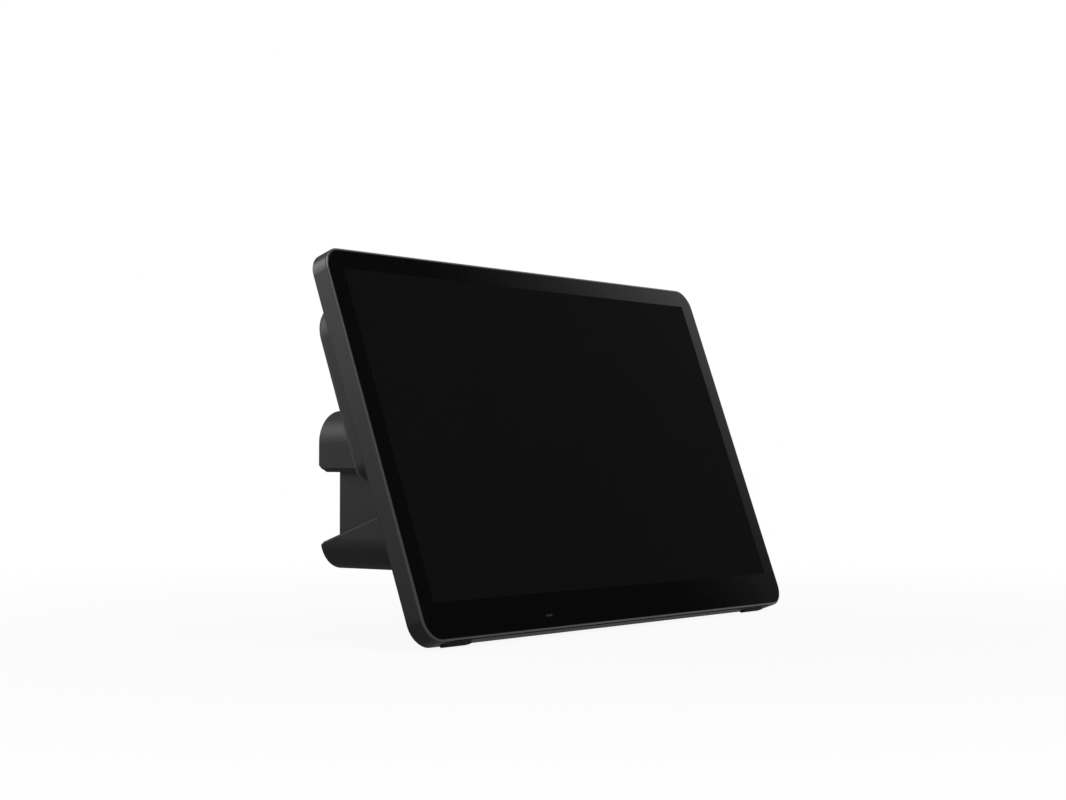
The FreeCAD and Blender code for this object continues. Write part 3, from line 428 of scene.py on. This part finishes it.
# one screw's rings are set at each place, with the heads to the back of the display and down under the ledge
def makeScrews(ears, stand):
    finish = finishes["black_steel"]
    right = np.array([side * ears["right"] + step * ears["spread"] / 2 for side in (-1, 1) for step in (-1, 1)])
    middles = np.stack([right, np.zeros_like(right), np.full_like(right, ears["out"])], axis=-1)
    screws = turnedOver(screwRings(ears["levels"]))[None] + middles[:, None, None, :]
    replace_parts(ringMesh("ear_screw_set", onDisplay(screws), finish, "display"), "ear_screws")
    middles = np.array([[side * stand["right"], stand["back"], stand["seat"]] for side in (-1, 1)])
    screws = turnedOver(screwRings(stand["levels"]))[None] + middles[:, None, None, :]
    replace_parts(ringMesh("stand_screw_set", screws, finish, "stand"), "stand_screws")


makeScrews(earScrew, standScrew)

# eight spring contacts in each socket: a flat wire that runs in under the roof and bends down
contactRow = {"places": (-0.013, 0.013), "count": 8, "pitch": 0.00102, "width": 0.00042, "thick": 0.00022,
              "rear": 0.0342, "roof": 0.06664, "start": 0.0010, "end": 0.0122, "gap": 0.00015, "drop": 0.0024,
              "stations": 14}


# each wire is a small rectangle carried along a run whose height falls in a smooth step
def makeContacts(look):
    run = np.linspace(0, 1, look["stations"])
    bend = run * run * (3 - 2 * run)
    back = look["rear"] - look["start"] - run * (look["end"] - look["start"])
    height = look["roof"] - look["gap"] - look["thick"] / 2 - look["drop"] * bend
    across = np.array([-1, 1, 1, -1]) * look["width"] / 2
    over = np.array([-1, -1, 1, 1]) * look["thick"] / 2
    step = (np.arange(look["count"]) - (look["count"] - 1) / 2) * look["pitch"]
    right = (np.array(look["places"])[:, None] + step[None, :]).ravel()
    shape = (len(right), len(run), 4)
    wires = np.stack([np.broadcast_to(right[:, None, None] + across, shape),
                      np.broadcast_to(back[None, :, None], shape),
                      np.broadcast_to(height[None, :, None] + over, shape)], axis=-1)
    ringMesh("socket_contacts", wires, finishes["steel"], "stand")


makeContacts(contactRow)

# the pad under the stand: grooves that follow its outline, from the middle outwards and up to its top
solePad = {"width": 0.090, "height": 0.058, "radius": 0.009, "thick": 0.0015, "edge": 0.0003, "middle": 0.024,
           "grooves": 3, "first": 0.0035, "pitch": 0.0055, "wide": 0.0018, "deep": 0.0006, "slant": 0.0003}


# each groove is two slanted sides and a floor, at its own inset from the outline
def makeSolePad(look):
    levels = [(look["middle"], 0.0)]
    for groove in range(look["grooves"])[::-1]:
        start = look["first"] + groove * look["pitch"]
        end = start + look["wide"]
        levels += [(end, 0.0), (end - look["slant"], look["deep"]),
                   (start + look["slant"], look["deep"]), (start, 0.0)]
    levels += [(look["edge"], 0.0), (0.0, look["edge"]), (0.0, look["thick"])]
    rings = plateRings(look["width"], look["height"], look["radius"], levels)
    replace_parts(ringMesh("grooved_sole", rings, finishes["rubber"], "stand"), "base_pad")


makeSolePad(solePad)
print("back and stand details made")

# the camera stands where the straight edges of the display line up with the photograph
camera = {"place": (-0.72985, -0.5509, 0.07426), "turn": (91.771, 0.0, -53.0160), "lens": 66.84, "sensor": 36.0,
          "clip": (0.01, 200.0)}
cameraData = bpy.data.cameras.new("camera")
cameraData.lens = camera["lens"]
cameraData.sensor_width = camera["sensor"]
cameraData.clip_start, cameraData.clip_end = camera["clip"]
cameraObject = bpy.data.objects.new("camera", cameraData)
cameraObject.location = camera["place"]
cameraObject.rotation_euler = [math.radians(a) for a in camera["turn"]]
scene.collection.objects.link(cameraObject)
scene.camera = cameraObject

# white for what the camera, gloss and glass see, and a grey sky for the light on the object
sky = {"seen": 1.0, "light": 0.38}


# the strength is the seen level for those rays and the light level for all others
def makeSky(look):
    world = bpy.data.worlds.new("studio")
    scene.world = world
    world.use_nodes = True
    tree = world.node_tree
    background = tree.nodes["Background"]
    background.inputs["Color"].default_value = (1, 1, 1, 1)
    path = tree.nodes.new("ShaderNodeLightPath").outputs
    mirrored = mathNode(tree, "MAXIMUM", path["Is Glossy Ray"], path["Is Transmission Ray"])
    seen = mathNode(tree, "MAXIMUM", path["Is Camera Ray"], mirrored)
    tree.links.new(rampNode(tree, seen, 0.0, 1.0, look["light"], look["seen"]), background.inputs["Strength"])


makeSky(sky)

# the table: white, its own light near the object thinned so that the shadow shows, full white far off;
# gloss sees a painted shade behind the object, paler under the lower edge, and white in front and further away
table = {"size": 60.0, "tone": 0.65, "near": 0.20, "far": 0.60, "cameraShare": 0.92,
         "shadeReach": (0.20, 0.10), "shadeBack": 0.02, "shadeEdge": (0.95, 1.35), "shade": (0.11, 0.32),
         "under": (-0.005, -0.035), "underLevel": 0.165, "front": (-0.0535, -0.0605), "open": (1.2, 2.5)}


# a square sheet whose shader goes from diffuse to its own light by the kind of ray that meets it
def makeTable(look):
    half = look["size"] / 2
    mesh = bpy.data.meshes.new("table")
    corners = [(-half, -half, 0), (half, -half, 0), (half, half, 0), (-half, half, 0)]
    mesh.from_pydata(corners, [], [(0, 1, 2, 3)])
    finish, tree, shader = newFinish("table")
    tree.nodes.remove(shader)
    cloth = tree.nodes.new("ShaderNodeBsdfDiffuse")
    cloth.inputs["Color"].default_value = (look["tone"],) * 3 + (1,)
    glow = tree.nodes.new("ShaderNodeEmission")
    path = tree.nodes.new("ShaderNodeLightPath").outputs
    place = tree.nodes.new("ShaderNodeTexCoord").outputs["Object"]
    away = lengthNode(tree, place)
    # the share of its own light, which the camera sees over most of the shadow
    fade = rampNode(tree, away, look["near"], look["far"], look["cameraShare"], 1.0, smooth=True)
    forCamera = mathNode(tree, "MULTIPLY", fade, path["Is Camera Ray"])
    share = mathNode(tree, "MAXIMUM", forCamera, path["Is Glossy Ray"])
    # the painted shade in gloss: an oval of lower glow round the object, paler under the lower edge, open in front
    # and far away
    oval = tree.nodes.new("ShaderNodeMapping")
    oval.inputs["Location"].default_value = (0.0, -look["shadeBack"] / look["shadeReach"][1], 0.0)
    oval.inputs["Scale"].default_value = (1 / look["shadeReach"][0], 1 / look["shadeReach"][1], 0.0)
    tree.links.new(place, oval.inputs["Vector"])
    reach = lengthNode(tree, oval.outputs["Vector"])
    split = tree.nodes.new("ShaderNodeSeparateXYZ")
    tree.links.new(place, split.inputs["Vector"])
    level = rampNode(tree, reach, *look["shadeEdge"], *look["shade"], smooth=True)
    for value, ends, top in ((split.outputs["Y"], look["under"], look["underLevel"]),
                             (split.outputs["Y"], look["front"], 1.0), (away, look["open"], 1.0)):
        level = mathNode(tree, "MAXIMUM", level, rampNode(tree, value, *ends, 0.0, top))
    level = mathNode(tree, "MAXIMUM", level, path["Is Camera Ray"])
    tree.links.new(level, glow.inputs["Strength"])
    mix = tree.nodes.new("ShaderNodeMixShader")
    tree.links.new(share, mix.inputs["Fac"])
    tree.links.new(cloth.outputs["BSDF"], mix.inputs[1])
    tree.links.new(glow.outputs["Emission"], mix.inputs[2])
    tree.links.new(mix.outputs["Shader"], tree.nodes["Material Output"].inputs["Surface"])
    mesh.materials.append(finish)
    floor = bpy.data.objects.new("table", mesh)
    scene.collection.objects.link(floor)


makeTable(table)

# cards that only gloss sees: the front one is black and brightens to white at its right, mirrored in the border
# of the glass; the side one brightens upwards and the back one to the left, mirrored in the walls on the left
frontCard = {"name": "front_card", "middle": (0.7305, -0.4253, 0.4245), "across": (0.4798, 0.8774, 0.0),
             "upward": (-0.3331, 0.1821, 0.9251), "wide": (-0.75, 0.235), "tall": (-0.30, 0.80),
             "ramp": (1.0, 0.10), "ends": (-0.02, 0.235), "levels": (0.0, 1.0), "curve": 2.0}
sideCard = {"name": "side_card", "middle": (-0.938, 0.60, 0.0), "across": (0.6, 0.8, 0.0),
            "upward": (0.0, 0.0, 1.0), "wide": (-0.6, 0.6), "tall": (0.0, 0.36),
            "ramp": (0.0, 1.0), "ends": (0.0, 0.23), "levels": (0.335, 1.23), "curve": 1.5}
backCard = {"name": "back_card", "middle": (0.5, 0.62, 0.0), "across": (1.0, 0.0, 0.0),
            "upward": (0.0, 0.0, 1.0), "wide": (-0.7, 0.7), "tall": (0.0, 1.0),
            "ramp": (-1.0, 0.0), "ends": (-0.10, 0.65), "levels": (0.03, 0.38), "curve": 1.4}


# a rectangle laid out from its middle along across and upward;
# its light goes between two levels with a power of the distance along its ramp
def makeCard(look):
    middle, across, upward = (np.array(look[k]) for k in ("middle", "across", "upward"))
    corners = [(look["wide"][i], look["tall"][j]) for i, j in ((0, 0), (1, 0), (1, 1), (0, 1))]
    mesh = bpy.data.meshes.new(look["name"])
    mesh.from_pydata([(middle + u * across + v * upward).tolist() for u, v in corners], [], [(0, 1, 2, 3)])
    finish, tree, shader = newFinish(look["name"])
    tree.nodes.remove(shader)
    glow = tree.nodes.new("ShaderNodeEmission")
    along = look["ramp"][0] * across + look["ramp"][1] * upward
    dot = tree.nodes.new("ShaderNodeVectorMath")
    dot.operation = "DOT_PRODUCT"
    dot.inputs[1].default_value = along
    tree.links.new(tree.nodes.new("ShaderNodeTexCoord").outputs["Object"], dot.inputs[0])
    start = float(middle @ along)
    ramp = rampNode(tree, dot.outputs["Value"], start + look["ends"][0], start + look["ends"][1], 0.0, 1.0)
    curve = mathNode(tree, "POWER", ramp, look["curve"])
    tree.links.new(rampNode(tree, curve, 0.0, 1.0, *look["levels"]), glow.inputs["Strength"])
    tree.links.new(glow.outputs["Emission"], tree.nodes["Material Output"].inputs["Surface"])
    mesh.materials.append(finish)
    piece = bpy.data.objects.new(look["name"], mesh)
    scene.collection.objects.link(piece)
    piece.visible_camera = False
    piece.visible_diffuse = False
    piece.visible_shadow = False
    piece.visible_transmission = False


for look in (frontCard, sideCard, backCard):
    makeCard(look)

# lamps: a soft key behind on the left, a fill in front and one for the back
lamps = [{"name": "key", "place": (-0.37, 0.462, 0.383), "aim": (-0.08, 0.02, 0.10),
          "size": 0.31, "power": 0.64, "mirrored": True},
         {"name": "fill", "place": (0.0, -0.88, 1.40), "aim": (0.0, 0.0, 0.08),
          "size": 0.7, "power": 10.5, "mirrored": True},
         {"name": "rear", "place": (0.05, 1.25, 0.42), "aim": (0.0, 0.0, 0.08),
          "size": 0.6, "power": 8.0, "mirrored": False}]
for lamp in lamps:
    lampData = bpy.data.lights.new(lamp["name"], "AREA")
    lampData.size = lamp["size"]
    lampData.energy = lamp["power"]
    lampObject = bpy.data.objects.new(lamp["name"], lampData)
    lampObject.location = lamp["place"]
    lampObject.visible_glossy = lamp["mirrored"]
    # a lamp shines down its own Z axis, so it is tipped by the slope of its way and turned to its heading
    way = np.array(lamp["aim"]) - np.array(lamp["place"])
    lampObject.rotation_euler = (math.atan2(math.hypot(way[0], way[1]), -way[2]), 0.0,
                                 math.atan2(way[1], way[0]) - math.pi / 2)
    scene.collection.objects.link(lampObject)
print("studio made")
